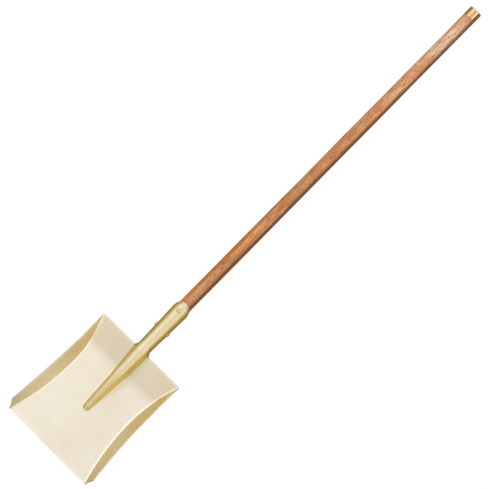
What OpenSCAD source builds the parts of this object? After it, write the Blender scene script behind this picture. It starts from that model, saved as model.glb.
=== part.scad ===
// Long-handled square-mouth shovel with upturned side walls, a pressed centre ridge,
// a tapered bronze socket and a straight wooden handle with a brass end cap.
// The tool lies on its back: +Y runs from the blade to the end of the handle, +Z is up, and the
// origin is on the ground, half way along the tool. Distances named "y" are counted from the
// blade's front edge.

/* [Whole tool] */
// Length from the blade's front edge to the end of the handle
tool_length = 1400; // [1100:10:1600]
// Angle by which the handle falls from the blade to its far end, at rest
droop = 0.42; // [0.36:0.02:1]

/* [Blade] */
// Length of the blade, from its front edge to its rear edge
blade_length = 307; // [300:1:320]
// Thickness of the blade's sheet
sheet = 2.2; // [1.8:0.1:2.6]
// Half of the floor's width at the rear corners
rear_half = 121; // [115:0.5:130]
// Half of the floor's width at the front corners
front_half = 122.5; // [115:0.5:130]
// Half of the floor's width at its waist
waist_half = 95.7; // [85:0.1:105]
// Distance of the waist in front of the rear edge
waist_back = 133; // [120:1:150]
// Half of the width across the walls' top edges at the front
brim_front_half = 134.4; // [130:0.1:140]
// Half of the width that the walls' top edges bend towards
brim_bend_half = 115.3; // [112:0.1:120]
// Distance from the front edge to that bend
brim_bend_y = 164; // [150:1:180]
// Length over which the front ends of the walls are cut away
wall_bevel = 21; // [10:1:40]
// Slope of the side walls from the floor, in degrees
wall_angle = 48; // [35:1:65]
// Inside radius of the bend between floor and wall
fold_radius = 8; // [4:0.5:12]
// Distance of the floor's cross bend, the heel, in front of the rear edge
heel_back = 80; // [70:1:95]
// Radius of the heel's bend
heel_radius = 90; // [60:5:150]
// Rise of the floor in front of the heel, in degrees
front_rise = 5.5; // [3:0.5:9]
// Rise of the floor behind the heel, in degrees
rear_rise = 14; // [10:0.5:16]

/* [Ridge] */
// Half of the ridge's width at the rear edge
ridge_rear_half = 21.5; // [21:0.1:24]
// Half of the ridge's width where its nose starts
ridge_nose_half = 9.6; // [8:0.1:13]
// Distance from the front edge to the start of the nose
ridge_nose_y = 131; // [125:1:145]
// Length of the rounded nose
ridge_nose_length = 15; // [12:1:30]
// Height of the ridge at the start of the nose
ridge_nose_height = 9; // [6:0.5:12]
// Radius of the fillet along the ridge's foot
ridge_foot_radius = 4; // [3:0.5:5]

/* [Socket] */
// Outside radius of the socket at the blade's rear edge
socket_neck_r = 17; // [16:0.1:17.2]
// Outside radius of the socket at its shoulders
socket_shoulder_r = 21; // [20:0.1:22]
// Distance of the shoulders behind the blade's rear edge
socket_shoulder = 132; // [110:1:150]
// Distance of the tongue's tip behind the blade's rear edge
socket_tongue = 150; // [145:1:165]
// Length of the socket's tapered end inside the ridge
socket_nest = 49; // [30:1:55]
// Outside radius of the socket at its inner end
socket_nest_r = 13.2; // [12.5:0.1:13.5]
// Angle of the mouth's cut from square, in degrees
mouth_angle = 30; // [0:1:40]

/* [Handle] */
// Radius of the handle at the socket's mouth
handle_r = 16.5; // [15.5:0.1:17]
// Outside radius of the end cap
cap_r = 15.8; // [15:0.1:16.5]
// Height by which the end cap stands proud of the wood next to it
cap_proud = 0.3; // [0.2:0.1:0.8]
// Length of the end cap
cap_length = 23; // [15:1:40]
// Wall thickness of the end cap
cap_wall = 1.3; // [1:0.1:2]

/* [Fasteners] */
// Distance of the cross rivet behind the blade's rear edge
rivet_back = 68; // [50:1:90]
// Radius of the cross rivet's shank
rivet_r = 3; // [2:0.5:4]
// Radius of the cross rivet's heads
rivet_head_r = 5.5; // [4.5:0.5:6.5]
// Height of the cross rivet's heads
rivet_head_h = 3; // [2:0.5:4]
// Distance of the tongue nail behind the blade's rear edge
nail_back = 126; // [110:1:130]
// Radius of the tongue nail's shank
nail_r = 2; // [1.5:0.5:3]
// Radius of the tongue nail's head
nail_head_r = 5.3; // [4.5:0.1:6]
// Height of the tongue nail's head
nail_head_h = 2.4; // [1.5:0.1:3]
// Length of the tongue nail's shank
nail_length = 26; // [20:1:30]

/* [Hidden] */
$fn = 72;

bronze = [0.86, 0.79, 0.58];
weld_bronze = [0.78, 0.70, 0.45];
ash = [0.80, 0.56, 0.36];
brass = [0.88, 0.72, 0.40];

// Places along the tool
waist_y = blade_length - waist_back;
heel_y = blade_length - heel_back;
shoulder_y = blade_length + socket_shoulder;
tongue_y = blade_length + socket_tongue;
nest_y = blade_length - socket_nest;
rivet_y = blade_length + rivet_back;
nail_y = blade_length + nail_back;
cap_y = tool_length - cap_length;

// Clearance of the wood in its socket and its cap, and of a shank in its hole
wood_gap = 0.1;
hole_gap = 0.05;
seat_gap = 0.02;

// Height of the handle's axis above the ground
function axis_z(y) = cap_r * cos(droop) + (tool_length - y) * tan(droop);

// Moves parts built around the Y axis onto the handle's drooping line
module on_handle_line() {
    translate([0, tool_length / 2, cap_r * cos(droop)])
        rotate([-droop, 0, 0])
            translate([0, -tool_length, 0])
                children();
}

// Turns a profile drawn as [radius, y] about the handle's line
module turned(profile, sweep = 360) {
    rotate([-90, 0, 0])
        rotate_extrude(angle = sweep)
            polygon(profile);
}

// ---- Blade: outlines ----

function arc_radius(run, rise) = (run * run + rise * rise) / (2 * rise);
function arc_rise(run, radius) = radius - sqrt(radius * radius - run * run);
front_arc = arc_radius(waist_y, front_half - waist_half);
rear_arc = arc_radius(waist_back, rear_half - waist_half);

// Half of the floor's width, to the fold lines
function fold_half(y) = waist_half + arc_rise(abs(y - waist_y), y < waist_y ? front_arc : rear_arc);

// Half of the width across the walls' top edges, a quadratic curve from rear to front
function brim_step(y) = let(
        back = blade_length - brim_bend_y,
        bow = blade_length - 2 * brim_bend_y
    ) (blade_length - y) / (back + sqrt(back * back - bow * (blade_length - y)));
function brim_half(y) = let(s = brim_step(y))
    rear_half * (1 - s) * (1 - s) + 2 * brim_bend_half * s * (1 - s) + brim_front_half * s * s;

// Width of a wall seen from above, never quite zero at the corners
corner_run = 1.2;
function wall_run(y) = max(corner_run, (brim_half(y) - fold_half(y)) * min(1, y / wall_bevel));

// Top of the floor in side view: two straight slopes joined by the heel's arc
heel_front_y = heel_y - heel_radius * sin(front_rise);
heel_rear_y = heel_y + heel_radius * sin(rear_rise);
function floor_z(y) = sheet + (
    y < heel_front_y ? arc_rise(heel_y - heel_front_y, heel_radius) + (heel_front_y - y) * tan(front_rise) :
    y > heel_rear_y ? arc_rise(heel_rear_y - heel_y, heel_radius) + (y - heel_rear_y) * tan(rear_rise) :
    arc_rise(y - heel_y, heel_radius));

// ---- Blade: ridge ----

// Radial room between the ridge's half width and its crest arc, and from foot line to flat floor
crest_inset = 1.9;
foot_outset = 2.5;
ridge_tip_y = ridge_nose_y - ridge_nose_length;
ridge_taper = (ridge_rear_half - ridge_nose_half) / (blade_length - ridge_nose_y);
crest_fall = 0.2;
crest_blend = 1;

function ridge_half(y) = ridge_rear_half - (blade_length - max(y, ridge_nose_y)) * ridge_taper;
function crest_radius(y) = ridge_half(y) - crest_inset;

// The crest follows the socket's top, then falls in a straight line to the nose
function crest_over_socket(y) = axis_z(y) + crest_radius(y);
function crest_to_nose(y) = floor_z(ridge_nose_y) + ridge_nose_height + (y - ridge_nose_y) * crest_fall;
function blend_low(a, b, room) = (a + b) / 2 - sqrt(pow((a - b) / 2, 2) + room * room);
function crest_height(y) =
    blend_low(crest_over_socket(y), crest_to_nose(y), crest_blend) - floor_z(y);

// The ridge's section at y: [foot, height, crest radius, foot radius, flank angle]
function ridge_shape(y) = let(
        foot = ridge_half(y) + foot_outset,
        height = crest_height(max(y, ridge_tip_y)),
        crest_r = crest_radius(y),
        arcs = crest_r + ridge_foot_radius,
        flank = atan2(height - arcs, foot) + asin(arcs / norm([foot, height - arcs]))
    ) [foot, height, crest_r, ridge_foot_radius, flank];

// Distance by which the nose's rounding moves a point outwards on its section
function nose_reach(y) = max(0, ridge_nose_y - y) / ridge_nose_length * ridge_shape(ridge_nose_y)[0];

// Height and slope of a section at a distance u from the ridge's middle line
function ridge_rise(u, s) = let(
        foot = s[0],
        crest_r = s[2],
        foot_r = s[3],
        flank = s[4],
        foot_edge = foot - foot_r * sin(flank)
    )
    u >= foot ? [0, 0] :
    u <= crest_r * sin(flank) ? [s[1] - arc_rise(u, crest_r), -asin(u / crest_r)] :
    u >= foot_edge ? [arc_rise(foot - u, foot_r), -asin((foot - u) / foot_r)] :
    [foot_r * (1 - cos(flank)) + (foot_edge - u) * tan(flank), -flank];

// A point of the section at a distance x from the middle: [x, height, slope across]
function ridge_point(x, s, reach) = let(
        u = norm([x, reach]),
        rise = ridge_rise(u, s)
    ) [x, rise[0], u > 0 ? atan(tan(rise[1]) * x / u) : 0];

crest_steps = 6;
foot_steps = 3;
bend_steps = 4;

// Distances from the middle at which the ridge's section has its points
function ridge_columns(s) = concat(
    [for (k = [0:crest_steps]) s[2] * sin(s[4] * k / crest_steps)],
    [for (k = [0:foot_steps]) s[0] - s[3] * sin(s[4] * (1 - k / foot_steps))]);

// ---- Blade: sections and sheet ----

// Half a section at y, from the middle to the wall's top: [x, height, slope angle]
function half_section(y) = let(
        ridge = ridge_shape(y),
        fold = fold_half(y),
        wall = wall_run(y) / cos(wall_angle),
        bend = min(fold_radius, 0.45 * wall / tan(wall_angle / 2)),
        start = fold - bend * tan(wall_angle / 2)
    ) concat(
        [for (x = ridge_columns(ridge_shape(max(y, ridge_nose_y)))) ridge_point(x, ridge, nose_reach(y))],
        [for (k = [0:bend_steps]) let(a = wall_angle * k / bend_steps)
            [start + bend * sin(a), bend * (1 - cos(a)), a]],
        [[fold + wall * cos(wall_angle), wall * sin(wall_angle), wall_angle]]);

// Points of a section at y in space
function section_points(y) = [for (p = half_section(y)) [p[0], y, floor_z(y) + p[1]]];

probe = 0.02;

// Unit normals of the blade's upper surface along half a section
function section_normals(y) = let(
        ahead = section_points(min(y + probe, blade_length)),
        behind = section_points(max(y - probe, 0)),
        half = half_section(y)
    ) [for (j = [0:len(half) - 1]) let(
        along = ahead[j] - behind[j],
        across = [cos(half[j][2]), 0, sin(half[j][2])],
        n = cross(across, along)
    ) n / norm(n)];

function mirrored(half) = concat(
    [for (j = [len(half) - 1:-1:1]) [-half[j][0], half[j][1], half[j][2]]],
    half);

function steps(from, to, count) = [for (i = [0:count - 1]) from + (to - from) * i / count];
stations = concat(
    steps(0, wall_bevel, 3),
    steps(wall_bevel, ridge_tip_y, 5),
    steps(ridge_tip_y, ridge_nose_y, 6),
    steps(ridge_nose_y, heel_front_y, 6),
    steps(heel_front_y, heel_y, 1),
    steps(heel_y, heel_rear_y, 3),
    steps(heel_rear_y, blade_length, 6),
    [blade_length]);

// Closed sheet between a grid of upper points and the same grid pushed down by the thickness
module sheet_between(upper, lower) {
    rows = len(upper);
    cols = len(upper[0]);
    below = rows * cols;
    points = concat([for (row = upper) each row], [for (row = lower) each row]);
    top_faces = [for (i = [0:rows - 2], j = [0:cols - 2]) let(a = i * cols + j)
        each [[a, a + cols, a + 1], [a + 1, a + cols, a + cols + 1]]];
    bottom_faces = [for (f = top_faces) [f[0] + below, f[2] + below, f[1] + below]];
    rim = concat(
        [for (j = [0:cols - 1]) j],
        [for (i = [1:rows - 1]) i * cols + cols - 1],
        [for (j = [cols - 2:-1:0]) (rows - 1) * cols + j],
        [for (i = [rows - 2:-1:1]) i * cols]);
    rim_faces = [for (k = [0:len(rim) - 1]) let(a = rim[k], b = rim[(k + 1) % len(rim)])
        each [[a, b, b + below], [a, b + below, a + below]]];
    polyhedron(points, concat(top_faces, bottom_faces, rim_faces));
}

module blade() {
    upper = [for (y = stations) mirrored(section_points(y))];
    depths = [for (y = stations) mirrored(section_normals(y))];
    lower = [for (i = [0:len(upper) - 1]) [for (j = [0:len(upper[i]) - 1])
        upper[i][j] - sheet * depths[i][j]]];
    color(bronze)
        translate([0, -tool_length / 2, 0])
            sheet_between(upper, lower);
}

// ---- Back plate: closes the ridge's hollow, flush with the underside of the floor ----

// Distances of the plate's ends behind the start of the nose and behind the heel's bend
plate_nose_gap = 4;
plate_rear_reach = 13;
plate_front_y = ridge_nose_y + plate_nose_gap;
plate_rear_y = heel_rear_y + plate_rear_reach;
plate_inset = 2.4;
plate_steps = 6;

module back_plate() {
    under = concat(
        [plate_front_y],
        steps(heel_front_y, heel_y, 2),
        steps(heel_y, heel_rear_y, plate_steps),
        [heel_rear_y, plate_rear_y]);
    side = concat(
        [for (y = under) [y, floor_z(y) - sheet]],
        [for (k = [len(under) - 1:-1:0]) [under[k], floor_z(under[k])]]);
    nose_w = ridge_half(plate_front_y) - plate_inset;
    rear_w = ridge_half(plate_rear_y) - plate_inset;
    color(bronze)
        translate([0, -tool_length / 2, 0])
            intersection() {
                rotate([90, 0, 90])
                    linear_extrude(2 * ridge_rear_half, center = true)
                        polygon(side);
                linear_extrude(socket_shoulder_r)
                    polygon([
                        [-nose_w, plate_front_y],
                        [nose_w, plate_front_y],
                        [rear_w, plate_rear_y],
                        [-rear_w, plate_rear_y]]);
            }
}

// ---- Socket ----

// The wood inside the socket, in two tapers: radii at its tip and at the blade's rear edge, and
// distances of the tip past the socket's inner end and of its full radius past the shoulders
tip_r = 10;
neck_wood_r = 12.9;
tip_inset = 10;
full_wood_back = 8;
tip_y = nest_y + tip_inset;
mouth_y = shoulder_y + full_wood_back;
socket_taper = (socket_shoulder_r - socket_neck_r) / socket_shoulder;
lip_start_y = shoulder_y - 2;
lip_wall = 0.7;

function socket_r(y) = socket_neck_r + (y - blade_length) * socket_taper;

module socket_outside(extra = 0) {
    turned([
        [0, nest_y],
        [socket_nest_r + extra, nest_y],
        [socket_neck_r + extra, blade_length],
        [socket_shoulder_r + extra, shoulder_y],
        [socket_shoulder_r + extra, tongue_y],
        [0, tongue_y]]);
}

module socket() {
    bore_end_r = tip_r + wood_gap - (tip_y - nest_y) * (neck_wood_r - tip_r) / (blade_length - tip_y);
    cut = 6 * socket_shoulder_r;
    color(bronze)
        on_handle_line()
            difference() {
                turned([
                    [bore_end_r, nest_y],
                    [socket_nest_r, nest_y],
                    [socket_neck_r, blade_length],
                    [socket_r(lip_start_y), lip_start_y],
                    [handle_r + wood_gap + lip_wall, tongue_y],
                    [handle_r + wood_gap, tongue_y],
                    [handle_r + wood_gap, mouth_y],
                    [neck_wood_r + wood_gap, blade_length]]);
                translate([0, tongue_y, socket_shoulder_r])
                    rotate([-mouth_angle, 0, 0])
                        translate([-cut / 2, 0, -cut / 2])
                            cube(cut);
                cross_hole(rivet_r + hole_gap);
                nail_hole(nail_r + hole_gap);
            }
}

module cross_hole(r) {
    translate([0, rivet_y, 0])
        rotate([0, 90, 0])
            cylinder(h = 4 * socket_shoulder_r, r = r, center = true);
}

module nail_hole(r) {
    translate([0, nail_y, socket_r(nail_y) - nail_length])
        cylinder(h = 2 * nail_length, r = r);
}

// Weld fillet where the ridge's rear lip and the blade's rear edge meet the socket. It is made
// from a little inside the socket's surface, and the socket's outside is then cut from it.
weld_gap = 0.6;
weld_start = blade_length + weld_gap;
weld_length = 13;
weld_height = 2.4;
weld_root = 1;
weld_sweep = 220;
gusset_width = 8;
gusset_length = 14;
gusset_height = 4;
gusset_root = 4;
// Concave outlines of the weld and its gussets, as shares of [height or width, length]
weld_hollow = [[1, 0], [0.55, 0.25], [0.25, 0.6]];
gusset_hollow = [[1, 0], [0.35, 0.35], [0, 1]];

module neck_weld() {
    root_r = socket_neck_r - weld_root;
    gusset_root_r = socket_neck_r - gusset_root;
    gusset_z = floor_z(blade_length) - sheet / 2 - gusset_height / 2 - axis_z(blade_length);
    color(weld_bronze)
        on_handle_line()
            difference() {
                union() {
                    rotate([0, weld_sweep / 2 - 90, 0])
                        mirror([0, 0, 1])
                            turned(concat(
                                [[root_r, weld_start]],
                                [for (p = weld_hollow)
                                    [socket_neck_r + weld_height * p[0], weld_start + weld_length * p[1]]],
                                [[root_r, weld_start + weld_length]]), weld_sweep);
                    for (side = [0, 1])
                        mirror([side, 0, 0])
                            translate([0, weld_start, gusset_z])
                                linear_extrude(gusset_height)
                                    polygon(concat(
                                        [[gusset_root_r, 0]],
                                        [for (p = gusset_hollow)
                                            [socket_neck_r + gusset_width * p[0], gusset_length * p[1]]],
                                        [[gusset_root_r, gusset_length]]));
                }
                socket_outside(seat_gap);
            }
}

// ---- Handle, its fasteners and its end cap ----

cap_end = 1.6;
cap_bevel = 0.8;
cap_bore_r = cap_r - cap_wall;
tenon_r = cap_bore_r - wood_gap;
tenon_end_y = tool_length - cap_end - wood_gap;

module handle() {
    color(ash)
        on_handle_line()
            difference() {
                turned([
                    [0, tip_y],
                    [tip_r, tip_y],
                    [neck_wood_r, blade_length],
                    [handle_r, mouth_y],
                    [cap_r - cap_proud, cap_y],
                    [tenon_r, cap_y],
                    [tenon_r, tenon_end_y],
                    [0, tenon_end_y]]);
                cross_hole(rivet_r + hole_gap);
                nail_hole(nail_r + hole_gap);
            }
}

// Depths to which a head's base reaches below the socket's surface, before the socket's outside is
// cut from it, and to which a shank reaches into its head
head_sink = 0.5;
shank_in_head = 1;

// Domed head of a rivet or nail, standing on z = 0
module domed_head(r, h) {
    ball = arc_radius(r, h);
    intersection() {
        translate([0, 0, h - ball])
            sphere(ball);
        translate([0, 0, -h])
            cylinder(h = 2 * h, r = r);
    }
}

module cross_rivet() {
    seat = socket_r(rivet_y);
    color(bronze)
        on_handle_line()
            union() {
                cross_shank(seat);
                difference() {
                    for (side = [-1, 1])
                        translate([side * (seat - head_sink), rivet_y, 0])
                            rotate([0, side * 90, 0])
                                domed_head(rivet_head_r, rivet_head_h + head_sink);
                    socket_outside(seat_gap);
                }
            }
}

module cross_shank(reach) {
    translate([0, rivet_y, 0])
        rotate([0, 90, 0])
            cylinder(h = 2 * (reach + shank_in_head), r = rivet_r, center = true);
}

module tongue_nail() {
    seat = socket_r(nail_y);
    color(bronze)
        on_handle_line()
            union() {
                translate([0, nail_y, seat - nail_length + shank_in_head])
                    cylinder(h = nail_length, r = nail_r);
                difference() {
                    translate([0, nail_y, seat - head_sink])
                        domed_head(nail_head_r, nail_head_h + head_sink);
                    socket_outside(seat_gap);
                }
            }
}

module end_cap() {
    color(brass)
        on_handle_line()
            turned([
                [cap_bore_r, cap_y],
                [cap_r, cap_y],
                [cap_r, tool_length - cap_bevel],
                [cap_r - cap_bevel, tool_length],
                [0, tool_length],
                [0, tool_length - cap_end],
                [cap_bore_r, tool_length - cap_end]]);
}

blade();
back_plate();
socket();
neck_weld();
handle();
cross_rivet();
tongue_nail();
end_cap();
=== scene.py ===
"""Looks of a long-handled square-mouth shovel: a pressed bronze blade with a tapered socket,
a lacquered wooden handle and a polished brass end cap, on a pale studio floor."""

import math

import bmesh
import bpy
import numpy as np
from mathutils import Matrix, Vector, noise


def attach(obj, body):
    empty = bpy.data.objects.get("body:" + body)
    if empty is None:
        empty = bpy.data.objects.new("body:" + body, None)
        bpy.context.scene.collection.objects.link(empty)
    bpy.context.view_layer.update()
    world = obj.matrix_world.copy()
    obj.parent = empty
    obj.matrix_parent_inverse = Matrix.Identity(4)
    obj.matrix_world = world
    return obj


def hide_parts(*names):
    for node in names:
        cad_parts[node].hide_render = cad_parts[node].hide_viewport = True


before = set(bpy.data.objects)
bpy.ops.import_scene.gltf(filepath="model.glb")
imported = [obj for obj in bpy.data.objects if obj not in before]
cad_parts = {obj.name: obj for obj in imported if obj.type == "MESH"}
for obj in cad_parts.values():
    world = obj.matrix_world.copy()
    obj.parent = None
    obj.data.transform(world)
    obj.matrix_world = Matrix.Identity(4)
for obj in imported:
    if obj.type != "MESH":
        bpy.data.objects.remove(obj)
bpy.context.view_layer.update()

# Without a seed of its own, Blender's noise takes one from the clock and differs in each run
NOISE_SEED = 1
noise.seed_set(NOISE_SEED)

# ---------------------------------------------------------------- sizes, in millimetres

MM = 0.001

TOOL_LENGTH = 1400.0
DROOP = math.radians(0.42)

# The blade: half widths of the floor and of the walls' top edges, and the slopes at its heel
BLADE_LENGTH = 307.0
SHEET = 2.2
REAR_HALF = 121.0
FRONT_HALF = 122.5
WAIST_HALF = 95.7
WAIST_BACK = 133.0
BRIM_FRONT_HALF = 134.4
BRIM_BEND_HALF = 115.3
BRIM_BEND_Y = 164.0
WALL_BEVEL = 21.0
WALL_ANGLE = math.radians(48)
FOLD_RADIUS = 8.0
HEEL_BACK = 80.0
HEEL_RADIUS = 90.0
FRONT_RISE = math.radians(5.5)
REAR_RISE = math.radians(14)
CORNER_RUN = 1.2
CORNER_ROUND = 3.0

# The ridge pressed up along the blade's middle, and the plate that closes it from behind
RIDGE_REAR_HALF = 21.5
RIDGE_NOSE_HALF = 9.6
RIDGE_NOSE_Y = 131.0
RIDGE_NOSE_LENGTH = 15.0
RIDGE_NOSE_HEIGHT = 9.0
RIDGE_FOOT_RADIUS = 4.0
CREST_INSET = 1.9
FOOT_OUTSET = 2.5
CREST_FALL = 0.2
CREST_BLEND = 1.0
PLATE_NOSE_GAP = 4.0
PLATE_HEEL_RUN = 13.0
PLATE_INSET = 2.4

# The socket: radii, and distances from the blade's rear edge
SOCKET_NECK_R = 17.0
SOCKET_SHOULDER_R = 21.0
SOCKET_SHOULDER = 132.0
SOCKET_TONGUE = 150.0
SOCKET_NEST = 49.0
SOCKET_NEST_R = 13.2
NEST_BORE_R = 9.5
TONGUE_REACH = 12.0
LIP_RUN = 9.0
LIP_WALL = 0.7

# The handle and the cap on its end
HANDLE_R = 16.5
HANDLE_NECK_R = 12.9
HANDLE_TIP_R = 10.0
HANDLE_TIP_GAP = 10.0
FULL_WOOD_BACK = 8.0
CAP_R = 15.8
CAP_PROUD = 0.3
CAP_LENGTH = 23.0
CAP_WALL = 1.3
CAP_END = 1.6
WOOD_GAP = 0.1

# The rivet and the nail, placed from the blade's rear edge
RIVET_BACK = 68.0
RIVET_R = 3.0
RIVET_HEAD_R = 5.5
RIVET_HEAD_H = 3.0
NAIL_BACK = 126.0
NAIL_R = 2.0
NAIL_LENGTH = 25.0
NAIL_HEAD_R = 5.3
NAIL_HEAD_H = 2.4

# Places along the tool, counted from the blade's front edge
WAIST_Y = BLADE_LENGTH - WAIST_BACK
HEEL_Y = BLADE_LENGTH - HEEL_BACK
SHOULDER_Y = BLADE_LENGTH + SOCKET_SHOULDER
TONGUE_Y = BLADE_LENGTH + SOCKET_TONGUE
NEST_Y = BLADE_LENGTH - SOCKET_NEST
MOUTH_Y = SHOULDER_Y + FULL_WOOD_BACK
CAP_Y = TOOL_LENGTH - CAP_LENGTH
RIDGE_TIP_Y = RIDGE_NOSE_Y - RIDGE_NOSE_LENGTH

AXIS_END_Z = CAP_R * math.cos(DROOP)


# ---------------------------------------------------------------- the blade's shape

def arc_radius(run, rise):
    return (run * run + rise * rise) / (2 * rise)


def arc_rise(run, radius):
    return radius - np.sqrt(np.maximum(radius * radius - run * run, 0))


FRONT_ARC = arc_radius(WAIST_Y, FRONT_HALF - WAIST_HALF)
REAR_ARC = arc_radius(WAIST_BACK, REAR_HALF - WAIST_HALF)
HEEL_FRONT_Y = HEEL_Y - HEEL_RADIUS * math.sin(FRONT_RISE)
HEEL_REAR_Y = HEEL_Y + HEEL_RADIUS * math.sin(REAR_RISE)
RIDGE_TAPER = (RIDGE_REAR_HALF - RIDGE_NOSE_HALF) / (BLADE_LENGTH - RIDGE_NOSE_Y)
PLATE_FRONT_Y = RIDGE_NOSE_Y + PLATE_NOSE_GAP
PLATE_REAR_Y = HEEL_REAR_Y + PLATE_HEEL_RUN

# Points across half a section of the blade, from the middle to the wall's top
CREST_STEPS = 14
FLANK_STEPS = 5
FOOT_STEPS = 6
FLOOR_STEPS = 16
BEND_STEPS = 8
WALL_STEPS = 7


def axis_z(y):
    """Height of the handle's axis."""
    return AXIS_END_Z + (TOOL_LENGTH - y) * math.tan(DROOP)


def fold_half(y):
    """Half of the floor's width, to the fold lines."""
    return WAIST_HALF + arc_rise(y - WAIST_Y, FRONT_ARC if y < WAIST_Y else REAR_ARC)


def brim_half(y):
    """Half of the width across the walls' top edges, a quadratic curve."""
    back = BLADE_LENGTH - BRIM_BEND_Y
    bow = BLADE_LENGTH - 2 * BRIM_BEND_Y
    gone = BLADE_LENGTH - y
    s = gone / (back + math.sqrt(back * back - bow * gone))
    return REAR_HALF * (1 - s) ** 2 + 2 * BRIM_BEND_HALF * s * (1 - s) + BRIM_FRONT_HALF * s * s


def wall_run(y):
    """Width of a wall seen from above."""
    cut = min(1.0, y / WALL_BEVEL)
    return max(CORNER_RUN, (brim_half(y) - fold_half(y)) * cut)


def floor_z(y):
    """Height of the floor's upper side: two slopes joined by the heel's arc."""
    front = arc_rise(HEEL_Y - HEEL_FRONT_Y, HEEL_RADIUS) + (HEEL_FRONT_Y - y) * math.tan(FRONT_RISE)
    rear = arc_rise(HEEL_REAR_Y - HEEL_Y, HEEL_RADIUS) + (y - HEEL_REAR_Y) * math.tan(REAR_RISE)
    bend = arc_rise(np.clip(y - HEEL_Y, HEEL_FRONT_Y - HEEL_Y, HEEL_REAR_Y - HEEL_Y), HEEL_RADIUS)
    return SHEET + np.where(y < HEEL_FRONT_Y, front, np.where(y > HEEL_REAR_Y, rear, bend))


def ridge_half(y):
    return RIDGE_REAR_HALF - (BLADE_LENGTH - max(y, RIDGE_NOSE_Y)) * RIDGE_TAPER


def crest_radius(y):
    return ridge_half(y) - CREST_INSET


def crest_height(y):
    """Height of the ridge's crest above the floor."""
    over_socket = axis_z(y) + crest_radius(y)
    to_nose = floor_z(RIDGE_NOSE_Y) + RIDGE_NOSE_HEIGHT + (y - RIDGE_NOSE_Y) * CREST_FALL
    low = (over_socket + to_nose) / 2 - math.hypot((over_socket - to_nose) / 2, CREST_BLEND)
    return float(low - floor_z(y))


def ridge_shape(y):
    """The ridge's section: foot distance, height, crest radius and flank angle."""
    foot = ridge_half(y) + FOOT_OUTSET
    height = crest_height(max(y, RIDGE_TIP_Y))
    crest_r = crest_radius(y)
    arcs = crest_r + RIDGE_FOOT_RADIUS
    flank = math.atan2(height - arcs, foot) + math.asin(arcs / math.hypot(foot, height - arcs))
    return foot, height, crest_r, flank


def ridge_rise(x, y):
    """Height of the ridge above the floor at distances x from the middle."""
    foot, height, crest_r, flank = ridge_shape(y)
    nose_foot = ridge_shape(RIDGE_NOSE_Y)[0]
    reach = max(0.0, RIDGE_NOSE_Y - y) / RIDGE_NOSE_LENGTH * nose_foot
    u = np.hypot(x, reach)
    foot_edge = foot - RIDGE_FOOT_RADIUS * math.sin(flank)
    crest = height - arc_rise(u, crest_r)
    fillet = arc_rise(foot - u, RIDGE_FOOT_RADIUS)
    side = RIDGE_FOOT_RADIUS * (1 - math.cos(flank)) + (foot_edge - u) * math.tan(flank)
    return np.where(u >= foot, 0, np.where(u <= crest_r * math.sin(flank), crest,
                                           np.where(u >= foot_edge, fillet, side)))


def half_section(y):
    """Points of half a section at y, from the middle to the wall's top edge."""
    foot, _, crest_r, flank = ridge_shape(max(y, RIDGE_NOSE_Y))
    turn = np.linspace(0, flank, CREST_STEPS + 1)
    crest_x = crest_r * np.sin(turn)
    foot_x = foot - RIDGE_FOOT_RADIUS * np.sin(flank * (1 - np.linspace(0, 1, FOOT_STEPS + 1)))
    flank_x = np.linspace(crest_x[-1], foot_x[0], FLANK_STEPS + 1)[1:-1]
    fold = fold_half(y)
    wall = wall_run(y) / math.cos(WALL_ANGLE)
    tangent = min(FOLD_RADIUS * math.tan(WALL_ANGLE / 2), 0.45 * wall)
    bend = tangent / math.tan(WALL_ANGLE / 2)
    start = fold - tangent
    floor_x = np.linspace(foot, start, FLOOR_STEPS + 1)[1:-1]
    x = np.concatenate([crest_x, flank_x, foot_x, floor_x])
    z = ridge_rise(x, y)
    a = np.linspace(0, WALL_ANGLE, BEND_STEPS + 1)
    up = np.linspace(tangent, wall, WALL_STEPS + 1)[1:]
    x = np.concatenate([x, start + bend * np.sin(a), fold + up * math.cos(WALL_ANGLE)])
    z = np.concatenate([z, bend * (1 - np.cos(a)), up * math.sin(WALL_ANGLE)])
    return x, z + float(floor_z(y))


def section(y):
    """A whole section at y, from the left wall's top to the right wall's top."""
    x, z = half_section(y)
    x = np.concatenate([-x[:0:-1], x])
    z = np.concatenate([z[:0:-1], z])
    return np.column_stack([x, np.full(len(x), y), z])


def smooth_share(value):
    """0 to 1 with no slope at either end."""
    t = np.clip(value, 0, 1)
    return t * t * (3 - 2 * t)


def rubbed_share(upright, steep, flat):
    """Painted shade by slope: 0, deep gold, where the normal's upright part is steep; 1, pale, where it is
    flat.
    """
    return smooth_share((np.abs(upright) - steep) / (flat - steep))


def surface_normals(grid):
    """Unit normals of a grid of points, from its neighbours on every side."""
    along = np.gradient(grid, axis=0)
    across = np.gradient(grid, axis=1)
    n = np.cross(across, along)
    return n / np.linalg.norm(n, axis=2, keepdims=True)


# ---------------------------------------------------------------- mesh helpers

def ground_place(points):
    """From the tool's own millimetres, counted from the front edge, to the frame's metres."""
    return (points - np.array([0, TOOL_LENGTH / 2, 0])) * MM


def line_place(points):
    """The same for parts built round the handle's axis, which droops to its far end."""
    y = points[..., 1] - TOOL_LENGTH
    z = points[..., 2]
    c = math.cos(DROOP)
    s = math.sin(DROOP)
    placed = np.stack([
        points[..., 0],
        y * c + z * s + TOOL_LENGTH / 2,
        z * c - y * s + AXIS_END_Z], axis=-1)
    return placed * MM


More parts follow.
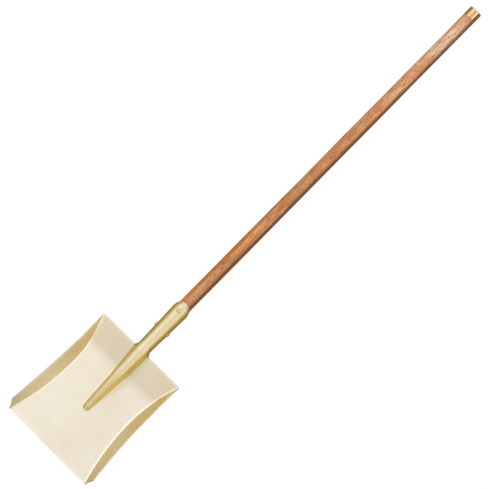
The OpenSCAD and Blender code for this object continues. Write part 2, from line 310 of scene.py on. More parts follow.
def make_piece(name, points, faces, slot, material, replaced=(), **marks):
    """A smooth-shaded mesh piece that rides on the tool.

    Each mark is a number for every point, which the piece's material reads under the mark's name.
    Points in one place become one."""
    mesh = bpy.data.meshes.new(name)
    mesh.from_pydata([tuple(p) for p in points], [], faces)
    for mark, values in marks.items():
        layer = mesh.attributes.new(mark, "FLOAT", "POINT")
        layer.data.foreach_set("value", np.asarray(values, dtype=np.float32).ravel())
    shell = bmesh.new()
    shell.from_mesh(mesh)
    bmesh.ops.remove_doubles(shell, verts=shell.verts, dist=0.002 * MM)
    bmesh.ops.recalc_face_normals(shell, faces=shell.faces)
    shell.to_mesh(mesh)
    shell.free()
    mesh.validate()
    mesh.update()
    mesh.polygons.foreach_set("use_smooth", [True] * len(mesh.polygons))
    mesh.materials.append(material)
    piece = bpy.data.objects.new(name, mesh)
    bpy.context.scene.collection.objects.link(piece)
    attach(piece, "root")
    if replaced:
        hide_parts(*replaced)
    return piece


def grid_faces(rows, cols, start=0, wrap=False, flip=False):
    """Quads between the rows of a grid of points; wrap joins its last column to its first."""
    faces = []
    for i in range(rows - 1):
        for j in range(cols if wrap else cols - 1):
            a = start + i * cols + j
            b = start + i * cols + (j + 1) % cols
            quad = (a, b, b + cols, a + cols)
            faces.append(quad[::-1] if flip else quad)
    return faces


def tube_faces(count, sides):
    """Faces of a tube of rings, with both of its ends filled."""
    faces = grid_faces(count, sides, wrap=True)
    faces.append(tuple(range(sides))[::-1])
    last = (count - 1) * sides
    faces.append(tuple(range(last, last + sides)))
    return faces


def sheet_shell(upper, lower):
    """Points and faces of a closed sheet between two grids of points."""
    rows, cols = upper.shape[:2]
    below = rows * cols
    points = np.concatenate([upper.reshape(-1, 3), lower.reshape(-1, 3)])
    faces = grid_faces(rows, cols) + grid_faces(rows, cols, start=below, flip=True)
    rim = list(range(cols))
    rim += [i * cols + cols - 1 for i in range(1, rows)]
    rim += [(rows - 1) * cols + j for j in range(cols - 2, -1, -1)]
    rim += [i * cols for i in range(rows - 2, 0, -1)]
    for a, b in zip(rim, rim[1:] + rim[:1]):
        faces.append((a, a + below, b + below, b))
    return points, faces


def bevel_edges(piece, width):
    """Rounds the sharp edges of a piece."""
    bevel = piece.modifiers.new("rounded_edges", "BEVEL")
    bevel.width = width * MM
    bevel.segments = 3
    bevel.limit_method = "ANGLE"
    bevel.angle_limit = math.radians(50)
    bevel.harden_normals = False


def turned_shell(profile, sides=96, shift=None):
    """Points and faces of a body of revolution about the handle's axis, from (radius, y) points.

    shift(turn, radius, y) may move each point's radius and y by the angle about the axis."""
    turns = np.linspace(0, 2 * math.pi, sides, endpoint=False)
    rows = []
    for r, y in profile:
        ring_r = np.full(sides, float(r))
        ring_y = np.full(sides, float(y))
        if shift:
            ring_r, ring_y = shift(turns, ring_r, ring_y)
        rows.append(np.column_stack([ring_r * np.sin(turns), ring_y, ring_r * np.cos(turns)]))
    return np.concatenate(rows), grid_faces(len(rows), sides, wrap=True)


def rounded_profile(corners):
    """A profile of (radius, y, rounding) corners with each corner turned into an arc."""
    steps = 6
    made = []
    for k, (r, y, soft) in enumerate(corners):
        here = Vector((r, y))
        if soft <= 0 or k in (0, len(corners) - 1):
            made.append((r, y))
            continue
        before = Vector(corners[k - 1][:2]) - here
        after = Vector(corners[k + 1][:2]) - here
        p = here + before.normalized() * min(soft, before.length * 0.49)
        q = here + after.normalized() * min(soft, after.length * 0.49)
        for i in range(steps + 1):
            t = i / steps
            at = p * (1 - t) ** 2 + here * 2 * t * (1 - t) + q * t * t
            made.append((at.x, at.y))
    return made


def long_run(start, end, r0, r1, step):
    """Corners of a straight taper, cut into short lengths so that it shades evenly."""
    count = max(1, round((end - start) / step))
    return [(r0 + (r1 - r0) * k / count, start + (end - start) * k / count, 0) for k in range(1, count)]


# ---------------------------------------------------------------- materials

class Shader:
    """A node material with short helpers, so that each material below reads as a recipe."""

    def __init__(self, name):
        self.material = bpy.data.materials.new(name)
        self.material.use_nodes = True
        self.tree = self.material.node_tree
        self.tree.nodes.clear()
        self.output = self.tree.nodes.new("ShaderNodeOutputMaterial")
        self.surface = self.tree.nodes.new("ShaderNodeBsdfPrincipled")
        self.link(self.surface.outputs["BSDF"], self.output.inputs["Surface"])
        self.place = self.tree.nodes.new("ShaderNodeTexCoord").outputs["Object"]

    def link(self, source, target):
        self.tree.links.new(source, target)

    def put(self, socket, value):
        """Links a value to a socket, or sets it when it is a plain number or colour."""
        if hasattr(value, "is_output"):
            self.link(value, socket)
        else:
            socket.default_value = value

    def set(self, **values):
        """Sets the surface shader's inputs: base_color for Base Color, and so on."""
        for key, value in values.items():
            self.put(self.surface.inputs[key.replace("_", " ").title().replace("Ior", "IOR")], value)

    def stretched(self, scale, turn=(0, 0, 0)):
        """The object's coordinates with a scale for each axis, in cycles per metre."""
        node = self.tree.nodes.new("ShaderNodeMapping")
        self.link(self.place, node.inputs["Vector"])
        node.inputs["Scale"].default_value = scale
        node.inputs["Rotation"].default_value = turn
        return node.outputs["Vector"]

    def noise(self, scale, detail=3.0, rough=0.5, distort=0.0):
        """Noise from 0 to 1; scale is one number, or one for each axis."""
        node = self.tree.nodes.new("ShaderNodeTexNoise")
        even = (scale, scale, scale) if isinstance(scale, (int, float)) else scale
        self.link(self.stretched(even), node.inputs["Vector"])
        node.inputs["Scale"].default_value = 1.0
        node.inputs["Detail"].default_value = detail
        node.inputs["Roughness"].default_value = rough
        node.inputs["Distortion"].default_value = distort
        return node.outputs["Fac"]

    def rings(self, scale, stretch, turn, distort):
        """Growth rings round the Y axis, for wood."""
        node = self.tree.nodes.new("ShaderNodeTexWave")
        node.wave_type = "RINGS"
        node.rings_direction = "Y"
        node.wave_profile = "SAW"
        self.link(self.stretched(stretch, turn), node.inputs["Vector"])
        node.inputs["Scale"].default_value = scale
        node.inputs["Distortion"].default_value = distort
        node.inputs["Detail"].default_value = 3.0
        node.inputs["Detail Scale"].default_value = 1.2
        return node.outputs["Fac"]

    def fit(self, value, low, high, to_low=0.0, to_high=1.0, smooth=False):
        """Maps low..high to to_low..to_high, clamped."""
        node = self.tree.nodes.new("ShaderNodeMapRange")
        node.interpolation_type = "SMOOTHSTEP" if smooth else "LINEAR"
        self.put(node.inputs["Value"], value)
        node.inputs["From Min"].default_value = low
        node.inputs["From Max"].default_value = high
        node.inputs["To Min"].default_value = to_low
        node.inputs["To Max"].default_value = to_high
        return node.outputs["Result"]

    def math(self, operation, a, b=0.0):
        node = self.tree.nodes.new("ShaderNodeMath")
        node.operation = operation
        self.put(node.inputs[0], a)
        self.put(node.inputs[1], b)
        return node.outputs[0]

    def mix(self, factor, a, b, blend="MIX"):
        """Mixes two colours."""
        node = self.tree.nodes.new("ShaderNodeMix")
        node.data_type = "RGBA"
        node.blend_type = blend
        self.put(node.inputs["Factor"], factor)
        self.put(node.inputs[6], a)
        self.put(node.inputs[7], b)
        return node.outputs[2]

    def attribute(self, name):
        node = self.tree.nodes.new("ShaderNodeAttribute")
        node.attribute_name = name
        return node.outputs["Fac"]

    def axis(self, which):
        node = self.tree.nodes.new("ShaderNodeSeparateXYZ")
        self.link(self.place, node.inputs["Vector"])
        return node.outputs[which]

    def bump(self, height, distance, strength=1.0, over=None):
        """Raises the surface by height times distance, in metres."""
        node = self.tree.nodes.new("ShaderNodeBump")
        self.link(height, node.inputs["Height"])
        node.inputs["Distance"].default_value = distance
        node.inputs["Strength"].default_value = strength
        if over is not None:
            self.link(over, node.inputs["Normal"])
        return node.outputs["Normal"]


def rgb(red, green, blue):
    """A linear colour from screen values of 0 to 255."""
    def linear(v):
        v = v / 255
        return v / 12.92 if v <= 0.04045 else ((v + 0.055) / 1.055) ** 2.4
    return (linear(red), linear(green), linear(blue), 1.0)


def satin_bronze(name):
    """Satin bronze, whose points carry three marks from 0 to 1.

    It is deep gold where steep and pale where flat, painted shade by slope; duller where forged; brightest
    where worn at edges and where a highlight is painted along the folds."""
    m = Shader(name)
    cloud = m.noise(9.0, detail=4, rough=0.55)
    patch = m.noise(38.0, detail=4, rough=0.6)
    brushed = m.noise((900, 34, 900), detail=3, rough=0.6)
    fine = m.noise(1500.0, detail=2, rough=0.6)
    wear = m.attribute("wear")
    forged = m.attribute("forged")
    tone = m.math("ADD", m.math("MULTIPLY", cloud, 0.65), m.math("MULTIPLY", patch, 0.35))
    light = m.fit(tone, 0.3, 0.7)
    colour = m.mix(forged, m.mix(light, GOLD, PALE_GOLD), m.mix(light, FORGED_GOLD, FORGED_PALE))
    # Painted shade: deep gold on steep faces, the base tone on flat ones.
    colour = m.mix(m.attribute("rubbed"), PAINTED_SHADE_GOLD, colour)
    colour = m.mix(m.fit(brushed, 0.3, 0.7, 0.0, 0.06), colour, rgb(170, 140, 80), "MULTIPLY")
    # Near white where the edges are worn, and a painted highlight along the blade's folds.
    colour = m.mix(m.math("MULTIPLY", wear, 0.6), colour, rgb(254, 249, 234))
    roughness = m.fit(patch, 0.3, 0.7, 0.38, 0.44)
    roughness = m.math("ADD", roughness, m.math("MULTIPLY", forged, 0.1))
    roughness = m.math("SUBTRACT", roughness, m.math("MULTIPLY", wear, 0.08))
    roughness = m.math("ADD", roughness, m.fit(brushed, 0.3, 0.7, -0.03, 0.03))
    skin = m.bump(fine, 0.00003, 0.5)
    skin = m.bump(brushed, 0.00004, 0.5, over=skin)
    skin = m.bump(patch, 0.00012, 0.3, over=skin)
    m.set(base_color=colour, roughness=roughness, normal=skin, metallic=1.0)
    return m.material


def hammered_bronze(name, gold, pale):
    """The same bronze, dented by a hammer, for rivet heads and dressed weld."""
    m = Shader(name)
    dents = m.noise(420.0, detail=2, rough=0.5)
    fine = m.noise(1600.0, detail=2, rough=0.6)
    colour = m.mix(m.fit(dents, 0.35, 0.65), gold, pale)
    skin = m.bump(dents, 0.0005, 0.5)
    skin = m.bump(fine, 0.00005, 0.5, over=skin)
    m.set(base_color=colour, roughness=m.fit(dents, 0.3, 0.7, 0.3, 0.45), normal=skin, metallic=1.0,
          coat_weight=0.5, coat_roughness=0.3)
    return m.material


def polished_brass(name):
    """Bright brass, turned on a lathe, so its fine scratches run round the cap."""
    m = Shader(name)
    turned = m.noise((60, 2600, 60), detail=3, rough=0.6)
    smudge = m.noise(90.0, detail=3, rough=0.6)
    colour = m.mix(m.fit(smudge, 0.35, 0.65), rgb(216, 175, 120), rgb(228, 190, 140))
    roughness = m.fit(smudge, 0.3, 0.7, 0.09, 0.15)
    m.set(base_color=colour, roughness=roughness, normal=m.bump(turned, 0.00002, 0.6), metallic=1.0)
    return m.material


def lacquered_wood(name):
    """Straight-grained orange-brown wood with short dark pores, and painted shade in dark bands down its two
    sides.
    """
    m = Shader(name)
    grain = m.noise((230, 16, 230), detail=6, rough=0.7, distort=0.8)
    streak = m.noise((340, 60, 340), detail=5, rough=0.65, distort=0.5)
    lines = m.noise((700, 44, 700), detail=3, rough=0.6)
    pores = m.noise((620, 130, 620), detail=3, rough=0.6)
    knots = m.noise((60, 24, 60), detail=3, rough=0.6, distort=0.8)
    blotch = m.noise((30, 11, 30), detail=3, rough=0.55)
    ring = m.rings(26.0, (1, 0.05, 1), (0.035, 0, 0.02), 5.0)
    towards_cap = m.fit(m.axis("Y"), 0.3, 0.66, 0.0, 1.0, smooth=True)
    colour = m.mix(towards_cap, rgb(238, 152, 78), rgb(248, 188, 142))
    light = m.mix(towards_cap, rgb(248, 190, 130), rgb(254, 222, 188))
    colour = m.mix(m.fit(blotch, 0.4, 0.6), colour, light)
    colour = m.mix(m.fit(streak, 0.5, 0.68, 0.0, 0.55), colour, light)
    colour = m.mix(m.fit(grain, 0.48, 0.6, 0.0, 0.6), colour, rgb(204, 112, 52))
    colour = m.mix(m.fit(lines, 0.5, 0.64, 0.0, 0.5), colour, rgb(162, 86, 42))
    colour = m.mix(m.fit(ring, 0.7, 0.98, 0.0, 0.5), colour, rgb(156, 86, 44))
    colour = m.mix(m.fit(knots, 0.66, 0.76, 0.0, 0.7), colour, rgb(150, 74, 34))
    fleck = m.fit(pores, 0.56, 0.64)
    colour = m.mix(m.math("MULTIPLY", fleck, 0.8), colour, rgb(104, 54, 28))
    # Painted shade: a dark band down the handle's +X side and a thin one down its -X side, by the X
    # coordinate.
    painted_side_shade = m.math("ADD", m.axis("X"), m.fit(blotch, 0.3, 0.7, -0.0015, 0.0015))
    colour = m.mix(m.fit(painted_side_shade, 0.0075, 0.0135, 0.0, 0.75, smooth=True), colour, rgb(104, 54, 28))
    colour = m.mix(m.fit(painted_side_shade, -0.0132, -0.0158, 0.0, 0.65, smooth=True), colour, rgb(104, 54, 28))
    depth = m.math("SUBTRACT", m.math("MULTIPLY", lines, 0.4), fleck)
    m.set(base_color=colour, roughness=m.fit(grain, 0.3, 0.7, 0.4, 0.52),
          normal=m.bump(depth, 0.00012, 0.6), coat_weight=0.25, coat_roughness=0.25)
    m.surface.inputs["Specular IOR Level"].default_value = 0.45
    return m.material


# Deep gold is painted shade, put on the metal's steep faces.
PAINTED_SHADE_GOLD = rgb(226, 206, 124)
GOLD = rgb(237, 226, 200)
PALE_GOLD = rgb(244, 235, 217)
FORGED_GOLD = rgb(232, 216, 176)
FORGED_PALE = rgb(238, 225, 194)
blade_bronze = satin_bronze("blade_bronze")
socket_bronze = satin_bronze("socket_bronze")
weld_bronze = hammered_bronze("weld_bronze", rgb(206, 184, 124), rgb(220, 200, 146))
rivet_bronze = hammered_bronze("rivet_bronze", rgb(222, 204, 150), rgb(236, 222, 178))
handle_wood = lacquered_wood("handle_wood")
cap_brass = polished_brass("cap_brass")


# ---------------------------------------------------------------- pieces

def blade_stations():
    """Places along the blade: close together where it is curved."""
    ends = [0, WALL_BEVEL, RIDGE_TIP_Y - 4, RIDGE_NOSE_Y + 2, HEEL_FRONT_Y, HEEL_REAR_Y, BLADE_LENGTH]
    steps = [3.0, 4.0, 0.9, 3.0, 1.6, 3.0]
    runs = [np.linspace(a, b, max(2, round((b - a) / s) + 1))[:-1]
            for a, b, s in zip(ends, ends[1:], steps)]
    return np.concatenate(runs + [[BLADE_LENGTH]])


def round_corners(grid):
    """Pulls the rear corners in along Y so that they are round seen from above."""
    reach = 4 * CORNER_ROUND
    inner = np.abs(grid[-1, :, 0]) - (np.abs(grid[-1, :, 0]).max() - CORNER_ROUND)
    pull = arc_rise(np.clip(inner, 0, CORNER_ROUND), CORNER_ROUND)
    near = np.clip((grid[:, :, 1] - (BLADE_LENGTH - reach)) / reach, 0, 1)
    grid[:, :, 1] -= pull[None, :] * near
    return grid


def blade_marks(stations, upper, normals):
    """The blade's marks: worn along its edges with a painted highlight along the folds, forged on the ridge,
    and painted shade by slope, pale where flat and deep gold where steep.
    """
    edge_wear = 2.5
    fold_wear = 2.2
    forged_rise = 1.5
    side = np.abs(upper[:, :, 0])
    to_brim = np.linalg.norm(upper - upper[:, -1:, :], axis=2)
    to_brim = np.minimum(to_brim, np.linalg.norm(upper - upper[:, :1, :], axis=2))
    to_end = np.minimum(upper[:, :, 1] * 0.5, BLADE_LENGTH - upper[:, :, 1])
    beside_ridge = smooth_share((side - RIDGE_REAR_HALF) / 8)
    folds = np.array([[fold_half(y)] for y in stations])
    to_fold = np.abs(side - folds + 1.0)
    # Wear along the brim and the ends, and a painted highlight along the folds.
    wear = np.maximum(np.exp(-np.minimum(to_brim, to_end) / edge_wear) * beside_ridge,
                      0.9 * np.exp(-(to_fold / fold_wear) ** 2))
    raised = upper[:, :, 2] - np.array([[float(floor_z(y))] for y in stations])
    raised[side > RIDGE_REAR_HALF + FOOT_OUTSET] = 0
    forged = smooth_share(raised / forged_rise)
    # Painted shade by slope: pale where flat, deep gold where steep, turning deep sooner on the ridge.
    rubbed = (forged * rubbed_share(normals[:, :, 2], 0.62, 1.0)
              + (1 - forged) * rubbed_share(normals[:, :, 2], 0.2, 0.95))
    return {"wear": wear, "rubbed": rubbed, "forged": forged}


def make_blade():
    """The pressed sheet with its side walls and ridge."""
    stations = blade_stations()
    upper = round_corners(np.array([section(y) for y in stations]))
    normals = surface_normals(upper)
    points, faces = sheet_shell(upper, upper - SHEET * normals)
    both_sides = {mark: np.tile(values.ravel(), 2)
                  for mark, values in blade_marks(stations, upper, normals).items()}
    blade = make_piece("blade_sheet", ground_place(points), faces, "blade_bronze", blade_bronze, ["blade"],
                       **both_sides)
    bevel_edges(blade, 0.6)


def plate_half(y):
    """Half of the back plate's width, round at its front end."""
    half = ridge_half(y) - PLATE_INSET
    into = y - PLATE_FRONT_Y
    return half if into >= half else math.sqrt(max(half * half - (half - into) ** 2, 0.3))


def make_back_plate():
    """The plate that closes the ridge's hollow from behind, a little crowned."""
    nose_run = 8
    thickness = SHEET - 0.3
    ys = np.concatenate([
        PLATE_FRONT_Y + nose_run * (1 - np.cos(np.linspace(0, math.pi / 2, 9)[:-1])),
        np.linspace(PLATE_FRONT_Y + nose_run, PLATE_REAR_Y, 60)])
    across = np.linspace(-1, 1, 15)
    under = []
    for y in ys:
        x = across * plate_half(y)
        crown = 0.5 * (1 - across ** 2) * (plate_half(y) / ridge_half(y)) ** 2
        under.append(np.column_stack([x, np.full(len(x), y), floor_z(y) - SHEET + crown]))
    under = np.array(under)
    normals = surface_normals(under)
    points, faces = sheet_shell(under + thickness * normals, under)
    # Painted shade: the whole plate mostly pale, as a flat face.
    plate = make_piece("back_plate_sheet", ground_place(points), faces, "blade_bronze", blade_bronze,
                       ["back_plate"], rubbed=np.full(len(points), 0.7))
    bevel_edges(plate, 0.4)


def weld_bead(path, radius):
    """Points and faces of a round bead along a path, rippled like a weld, with closed ends."""
    sides = 12
    ripple = 0.12
    pitch = 2.4
    path = np.array(path)
    ahead = np.gradient(path, axis=0)
    ahead /= np.linalg.norm(ahead, axis=1, keepdims=True)
    side = np.cross(ahead, [0, 0, 1.0])
    side /= np.linalg.norm(side, axis=1, keepdims=True)
    up = np.cross(side, ahead)
    far = np.concatenate([[0], np.cumsum(np.linalg.norm(np.diff(path, axis=0), axis=1))])
    wave = 1 + ripple * np.abs(np.sin(math.pi * far / pitch))
    fade = np.clip(np.minimum(far, far[-1] - far) / (2 * radius) + 0.35, 0, 1)
    turns = np.linspace(0, 2 * math.pi, sides, endpoint=False)
    r = (radius * wave * fade)[:, None, None]
    ring = side[:, None, :] * np.cos(turns)[None, :, None] + up[:, None, :] * np.sin(turns)[None, :, None]
    return (path[:, None, :] + r * ring).reshape(-1, 3), tube_faces(len(path), sides)


def make_plate_seam():
    """The weld bead round the back plate, sunk in the groove between plate and blade."""
    groove = 1.3
    depth = 2.0
    bead_r = 1.75
    nose_y = PLATE_FRONT_Y + 7
    side = [(plate_half(y) + groove, y) for y in np.arange(PLATE_REAR_Y, nose_y, -0.8)]
    half = plate_half(nose_y) + groove
    turn = np.linspace(0, math.pi, 25)[1:-1]
    centre_y = side[-1][1]
    nose = [(half * math.cos(a), centre_y - (half + 0.6) * math.sin(a)) for a in turn]
    route = side + nose + [(-x, y) for x, y in side[::-1]]
    path = [(x, y, float(floor_z(y)) - SHEET + depth) for x, y in route]
    points, faces = weld_bead(path, bead_r)
    make_piece("back_plate_weld", ground_place(points), faces, "weld_bronze", weld_bronze)


def uneven(points, amount, size):
    """Moves points a little, so that a forged surface isn't perfectly true."""
    moved = np.array(points)
    for k, p in enumerate(points):
        v = Vector(p) / size
        moved[k] += np.array(noise.noise_vector(v)) * amount
    return moved


def socket_r(y):
    """The socket's outer radius."""
    return SOCKET_NECK_R + (y - BLADE_LENGTH) * (SOCKET_SHOULDER_R - SOCKET_NECK_R) / SOCKET_SHOULDER


def socket_outline():
    """Closed (radius, y) profile of the socket's wall."""
    lip_y = TONGUE_Y - TONGUE_REACH
    wood = HANDLE_R + WOOD_GAP
    bore = HANDLE_NECK_R + WOOD_GAP
    corners = [(NEST_BORE_R, NEST_Y, 0), (SOCKET_NEST_R, NEST_Y, 2.0)]
    corners += long_run(NEST_Y, BLADE_LENGTH, SOCKET_NEST_R, SOCKET_NECK_R, 8)
    corners += [(SOCKET_NECK_R, BLADE_LENGTH, 6)]
    corners += long_run(BLADE_LENGTH, lip_y - LIP_RUN, SOCKET_NECK_R, SOCKET_SHOULDER_R, 5)
    corners += [(SOCKET_SHOULDER_R, lip_y - LIP_RUN, 4.5), (wood + LIP_WALL + 0.6, lip_y - 0.4, 1.2),
                (wood, lip_y, 0.6), (wood, MOUTH_Y - TONGUE_REACH - 3, 0)]
    corners += long_run(MOUTH_Y - TONGUE_REACH - 3, BLADE_LENGTH, wood, bore, 12)
    corners += [(bore, BLADE_LENGTH, 0), (NEST_BORE_R, NEST_Y, 0)]
    return rounded_profile(corners)


def turned_rubbed(points):
    """Painted shade by slope for points round the handle's axis, from how their normals point away from it.
    """
    upright = points[:, 2] / np.hypot(points[:, 0], points[:, 2])
    return rubbed_share(upright, 0.58, 1.0)


def make_socket():
    """The tapered tube, whose mouth runs out into a rounded tongue on top."""
    rise_from = SHOULDER_Y - 46
    rise_to = SHOULDER_Y - 6
    sides = 112

    def mouth(turns, radius, y):
        share = smooth_share((y - rise_from) / (rise_to - rise_from))
        return radius, y + TONGUE_REACH * np.cos(turns) * share

    profile = socket_outline()
    points, faces = turned_shell(profile, sides, mouth)
    lip_y = TONGUE_Y - TONGUE_REACH
    from_lip = np.repeat([abs(y - lip_y) + abs(r - HANDLE_R - 1) for r, y in profile], sides)
    # Painted shade by slope round the tube; wear at the mouth's lip.
    make_piece("socket_tube", line_place(uneven(points, 0.05, 30.0)), faces, "socket_bronze", socket_bronze,
               ["socket"], wear=0.6 * np.exp(-from_lip / 2.0), rubbed=turned_rubbed(points),
               forged=np.ones(len(points)))


def make_neck_weld():
    """The dressed fillet between the ridge's rear end, the blade's rear edge and the socket.

    On top it starts on the ridge and is filed into one long run to the socket; at the sides it is short."""
    crest_r = float(crest_radius(BLADE_LENGTH))
    sheet_turn = math.radians(106)
    end_turn = math.radians(126)
    edge_y = BLADE_LENGTH - 1.6
    sunk = 0.3
    root_r = SOCKET_NECK_R - 1.0
    turns = np.linspace(-end_turn, end_turn, 181)[:, None]
    alongs = np.linspace(0, 1, 29)[None, :]
    off = np.abs(turns) - sheet_turn
    flare = 5.6 * np.exp(-(off / np.where(off > 0, math.radians(9), math.radians(17))) ** 2)
    ends = smooth_share((end_turn - np.abs(turns)) / math.radians(12))
    on_top = 1 - smooth_share((np.abs(turns) - math.radians(35)) / math.radians(50))
    start = edge_y - 7 * on_top
    length = 17 + 28 * on_top
    y = start + alongs * length
    base = socket_r(y) - sunk
    over_ridge = np.minimum(y - BLADE_LENGTH, 0) * RIDGE_TAPER
    rise = 0.1 - 0.5 * on_top * (1 - smooth_share((y - start) / 5))
    fade = 1 - smooth_share((y - BLADE_LENGTH) / (start + length - BLADE_LENGTH))
    lip = (crest_r + over_ridge + rise - base) * ends * fade
    skirt = flare * ends * (1 - np.clip((y - edge_y) / 15, 0, 1)) ** 2.2
    r = base + lip + skirt
    inner_r = np.full(r.shape, root_r)
    outer = np.stack([r * np.sin(turns), y, r * np.cos(turns)], axis=-1)
    inner = np.stack([inner_r * np.sin(turns), y, inner_r * np.cos(turns)], axis=-1)
    points, faces = sheet_shell(outer, inner)
    # Painted shade by slope, as on the socket.
    make_piece("neck_weld_fillet", line_place(points), faces, "weld_bronze", socket_bronze, ["neck_weld"],
               rubbed=turned_rubbed(points), forged=np.ones(len(points)))


def make_handle():
    """The wooden pole, tapered into the socket and cut down to a tenon inside the cap."""
    tip_y = NEST_Y + HANDLE_TIP_GAP
    tenon_y = TOOL_LENGTH - CAP_END - WOOD_GAP
    tenon = CAP_R - CAP_WALL - WOOD_GAP
    end_r = CAP_R - CAP_PROUD
    corners = [(0, tip_y, 0), (HANDLE_TIP_R, tip_y, 1.5), (HANDLE_NECK_R, BLADE_LENGTH, 3),
               (HANDLE_R, MOUTH_Y, 3)]
    corners += long_run(MOUTH_Y, CAP_Y, HANDLE_R, end_r, 9)
    corners += [(end_r, CAP_Y - 0.05, 0.5), (tenon, CAP_Y - 0.05, 0), (tenon, tenon_y, 0), (0, tenon_y, 0)]

    def hand_shaped(turns, radius, y):
        wave = 0.09 * np.sin(2 * turns + y / 61) + 0.06 * np.sin(3 * turns - y / 37)
        return np.where(radius > tenon + 0.5, radius + wave - 0.12, radius), y

    points, faces = turned_shell(rounded_profile(corners), 96, hand_shaped)
    make_piece("handle_pole", line_place(points), faces, "handle_wood", handle_wood, ["handle"])


def dome(r, h, skirt):
    """(radius, height) points of a domed head, from its rim to a last small ring at its top."""
    steps = 10
    top_r = 0.15
    ball = arc_radius(r, h)
    reach = math.asin(min(1.0, r / ball))
    points = [(r - 0.25, -skirt), (r, -skirt + 0.25), (r, 0.0)]
    for k in range(1, steps + 1):
        a = reach * (1 - k / steps)
        points.append((max(top_r, ball * math.sin(a)), h - ball + ball * math.cos(a)))
    return points


def lathe_points(profile, sides):
    """Rings of points about Z for a (radius, height) profile."""
    turns = np.linspace(0, 2 * math.pi, sides, endpoint=False)
    rings = [np.column_stack([r * np.cos(turns), r * np.sin(turns), np.full(sides, z)]) for r, z in profile]
    return np.concatenate(rings)


def make_cross_rivet():
    """One rivet right through the socket, with a domed head on each side."""
    y = BLADE_LENGTH + RIVET_BACK
    seat = socket_r(y) - 0.35
    skirt = 0.6
    head = [(r, seat + z) for r, z in dome(RIVET_HEAD_R, RIVET_HEAD_H, skirt)]
    shank = [(RIVET_R, seat - skirt)]
    profile = [(r, -z) for r, z in (shank + head)[::-1]] + shank + head
    sides = 48
    points = uneven(lathe_points(profile, sides), 0.12, 2.2)
    turned = np.column_stack([points[:, 2], points[:, 0] + y, -points[:, 1]])
    make_piece("cross_rivet_heads", line_place(turned), tube_faces(len(profile), sides),
               "rivet_bronze", rivet_bronze, ["cross_rivet"])


def make_tongue_nail():
    """The pointed nail in the socket's tongue, with a domed head on top."""
    y = BLADE_LENGTH + NAIL_BACK
    seat = socket_r(y) - 0.1
    skirt = 1.2
    point = [(0.1 * NAIL_R, -NAIL_LENGTH), (0.8 * NAIL_R, 3 - NAIL_LENGTH), (NAIL_R, 7 - NAIL_LENGTH)]
    profile = point + [(NAIL_R, -skirt)] + dome(NAIL_HEAD_R, NAIL_HEAD_H, skirt)
    sides = 48
    points = lathe_points(profile, sides)
    points[:, 2] += seat
    points = uneven(points, 0.12, 2.4)
    points[:, 1] += y
    make_piece("tongue_nail_head", line_place(points), tube_faces(len(profile), sides),
               "rivet_bronze", rivet_bronze, ["tongue_nail"])


def make_end_cap():
    """The brass cup over the handle's end."""
    inner = CAP_R - CAP_WALL
    corners = [(inner, CAP_Y, 0), (CAP_R, CAP_Y, 0.4)]
    corners += long_run(CAP_Y, TOOL_LENGTH, CAP_R, CAP_R, 2)
    corners += [(CAP_R, TOOL_LENGTH - 0.1, 1.3), (CAP_R * 0.5, TOOL_LENGTH, 2), (0, TOOL_LENGTH, 0)]
    back = [(0, TOOL_LENGTH - CAP_END), (inner, TOOL_LENGTH - CAP_END), (inner, CAP_Y)]
    points, faces = turned_shell(rounded_profile(corners) + back, 112)
    make_piece("end_cap_cup", line_place(points), faces, "cap_brass", cap_brass, ["end_cap"])


make_blade()
make_back_plate()
make_plate_seam()
make_socket()
make_neck_weld()
make_handle()
make_cross_rivet()
make_tongue_nail()
make_end_cap()


# ---------------------------------------------------------------- floor, light and camera

# Direction of the sky's brightest part, and its colours by the cosine of the angle from there
BRIGHTEST = (-0.24, 0.3, 0.92)
SKY = [
    (-0.3, (0.04, 0.03, 0.02)),
    (0.1, (0.16, 0.12, 0.06)),
    (0.4, (0.60, 0.53, 0.38)),
    (0.66, (0.92, 0.88, 0.80)),
    (0.92, (0.97, 1.0, 1.07))]
SKY_STRENGTH = 0.95


def studio_floor():
    """A pale floor: white to the camera, golden in the metal's reflections, dim beside the wood."""
    mesh = bpy.data.meshes.new("floor")
    half = 14.0
    mesh.from_pydata([(-half, -half, 0), (half, -half, 0), (half, half, 0), (-half, half, 0)], [],
                     [(0, 1, 2, 3)])
    material = bpy.data.materials.new("floor_white")
    material.use_nodes = True
    nodes = material.node_tree.nodes
    links = material.node_tree.links
    nodes.clear()

    def diffuse(red, green, blue):
        node = nodes.new("ShaderNodeBsdfDiffuse")
        node.inputs["Color"].default_value = (red, green, blue, 1)
        return node

    seen = nodes.new("ShaderNodeEmission")
    seen.inputs["Color"].default_value = (1, 1, 1, 1)
    seen.inputs["Strength"].default_value = 0.9
    matt = diffuse(0.14, 0.14, 0.14)
    mirrored = diffuse(0.38, 0.31, 0.16)
    bounced = diffuse(0.12, 0.11, 0.10)
    both = nodes.new("ShaderNodeAddShader")
    unseen = nodes.new("ShaderNodeMixShader")
    pick = nodes.new("ShaderNodeMixShader")
    path = nodes.new("ShaderNodeLightPath")
    output = nodes.new("ShaderNodeOutputMaterial")
    links.new(seen.outputs[0], both.inputs[0])
    links.new(matt.outputs[0], both.inputs[1])
    links.new(path.outputs["Is Diffuse Ray"], unseen.inputs[0])
    links.new(mirrored.outputs[0], unseen.inputs[1])
    links.new(bounced.outputs[0], unseen.inputs[2])
    links.new(path.outputs["Is Camera Ray"], pick.inputs[0])
    links.new(unseen.outputs[0], pick.inputs[1])
    links.new(both.outputs[0], pick.inputs[2])
    links.new(pick.outputs[0], output.inputs["Surface"])
    mesh.materials.append(material)
    floor = bpy.data.objects.new("floor", mesh)
    bpy.context.scene.collection.objects.link(floor)
    floor.location.z = -0.0005


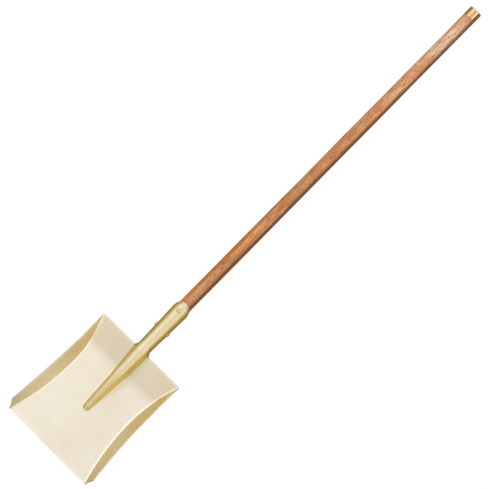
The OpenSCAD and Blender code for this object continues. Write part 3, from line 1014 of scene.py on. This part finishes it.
def studio_world():
    """Soft light from the whole sky, brightest overhead and warm and dim low down; the camera sees white."""
    world = bpy.data.worlds.new("studio")
    bpy.context.scene.world = world
    world.use_nodes = True
    nodes = world.node_tree.nodes
    links = world.node_tree.links
    nodes.clear()
    place = nodes.new("ShaderNodeTexCoord")
    towards = nodes.new("ShaderNodeVectorMath")
    towards.operation = "DOT_PRODUCT"
    towards.inputs[1].default_value = Vector(BRIGHTEST).normalized()
    ramp = nodes.new("ShaderNodeValToRGB")
    stops = ramp.color_ramp.elements
    lowest = SKY[0][0]
    while len(stops) < len(SKY):
        stops.new(1.0)
    for stop, (cosine, colour) in zip(stops, SKY):
        stop.position = (cosine - lowest) / (1 - lowest)
        stop.color = (*colour, 1)
    sky = nodes.new("ShaderNodeBackground")
    output = nodes.new("ShaderNodeOutputWorld")
    links.new(place.outputs["Generated"], towards.inputs[0])
    shift = nodes.new("ShaderNodeMapRange")
    shift.inputs["From Min"].default_value = lowest
    links.new(towards.outputs["Value"], shift.inputs["Value"])
    links.new(shift.outputs["Result"], ramp.inputs["Fac"])
    links.new(ramp.outputs["Color"], sky.inputs["Color"])
    sky.inputs["Strength"].default_value = SKY_STRENGTH
    plain = nodes.new("ShaderNodeBackground")
    plain.inputs["Color"].default_value = (1, 1, 1, 1)
    path = nodes.new("ShaderNodeLightPath")
    pick = nodes.new("ShaderNodeMixShader")
    links.new(path.outputs["Is Camera Ray"], pick.inputs[0])
    links.new(sky.outputs[0], pick.inputs[1])
    links.new(plain.outputs[0], pick.inputs[2])
    links.new(pick.outputs[0], output.inputs["Surface"])


def soft_box(name, place, target, size, power):
    """A soft light aimed at a point; size is its length along the ground, then its height."""
    light = bpy.data.lights.new(name, "AREA")
    light.shape = "RECTANGLE"
    light.size, light.size_y = size
    light.energy = power
    lamp = bpy.data.objects.new(name, light)
    lamp.location = place
    lamp.rotation_mode = "QUATERNION"
    lamp.rotation_quaternion = (Vector(target) - Vector(place)).to_track_quat("-Z", "Y")
    bpy.context.scene.collection.objects.link(lamp)


def studio_camera():
    """A long lens almost straight above, with the handle pointing to the upper right."""
    tilt = math.radians(7)
    roll = math.radians(45.45)
    lens = 200.0
    sensor = 36.0
    seen_height = 1.12
    aim = Vector((-0.0033, -0.0545, 0.02))
    back = Vector((math.sin(tilt), 0, math.cos(tilt)))
    along = Vector((0, 1, 0))
    across = along.cross(back)
    right = along * math.cos(roll) + across * math.sin(roll)
    up = along * math.sin(roll) - across * math.cos(roll)
    data = bpy.data.cameras.new("camera")
    data.lens = lens
    data.sensor_width = sensor
    data.clip_end = 60
    camera = bpy.data.objects.new("camera", data)
    camera.location = aim + back * (seen_height * lens / sensor)
    camera.rotation_mode = "QUATERNION"
    camera.rotation_quaternion = Matrix((right, up, back)).transposed().to_quaternion()
    bpy.context.scene.collection.objects.link(camera)
    bpy.context.scene.camera = camera


studio_floor()
studio_world()
soft_box("left_strip", (-1.35, 0.0, 2.0), (0, 0, 0), (2.6, 1.0), 7)
soft_box("right_strip", (1.9, 0.0, 1.5), (0, 0, 0), (2.6, 1.1), 11)
soft_box("front_box", (0.0, -2.2, 0.5), (0, -0.6, 0), (1.6, 0.7), 5)
soft_box("right_card", (0.8, -0.9, 0.30), (-0.1, -0.6, 0.03), (1.3, 0.4), 1.0)
studio_camera()
bpy.context.scene.view_settings.view_transform = "Standard"
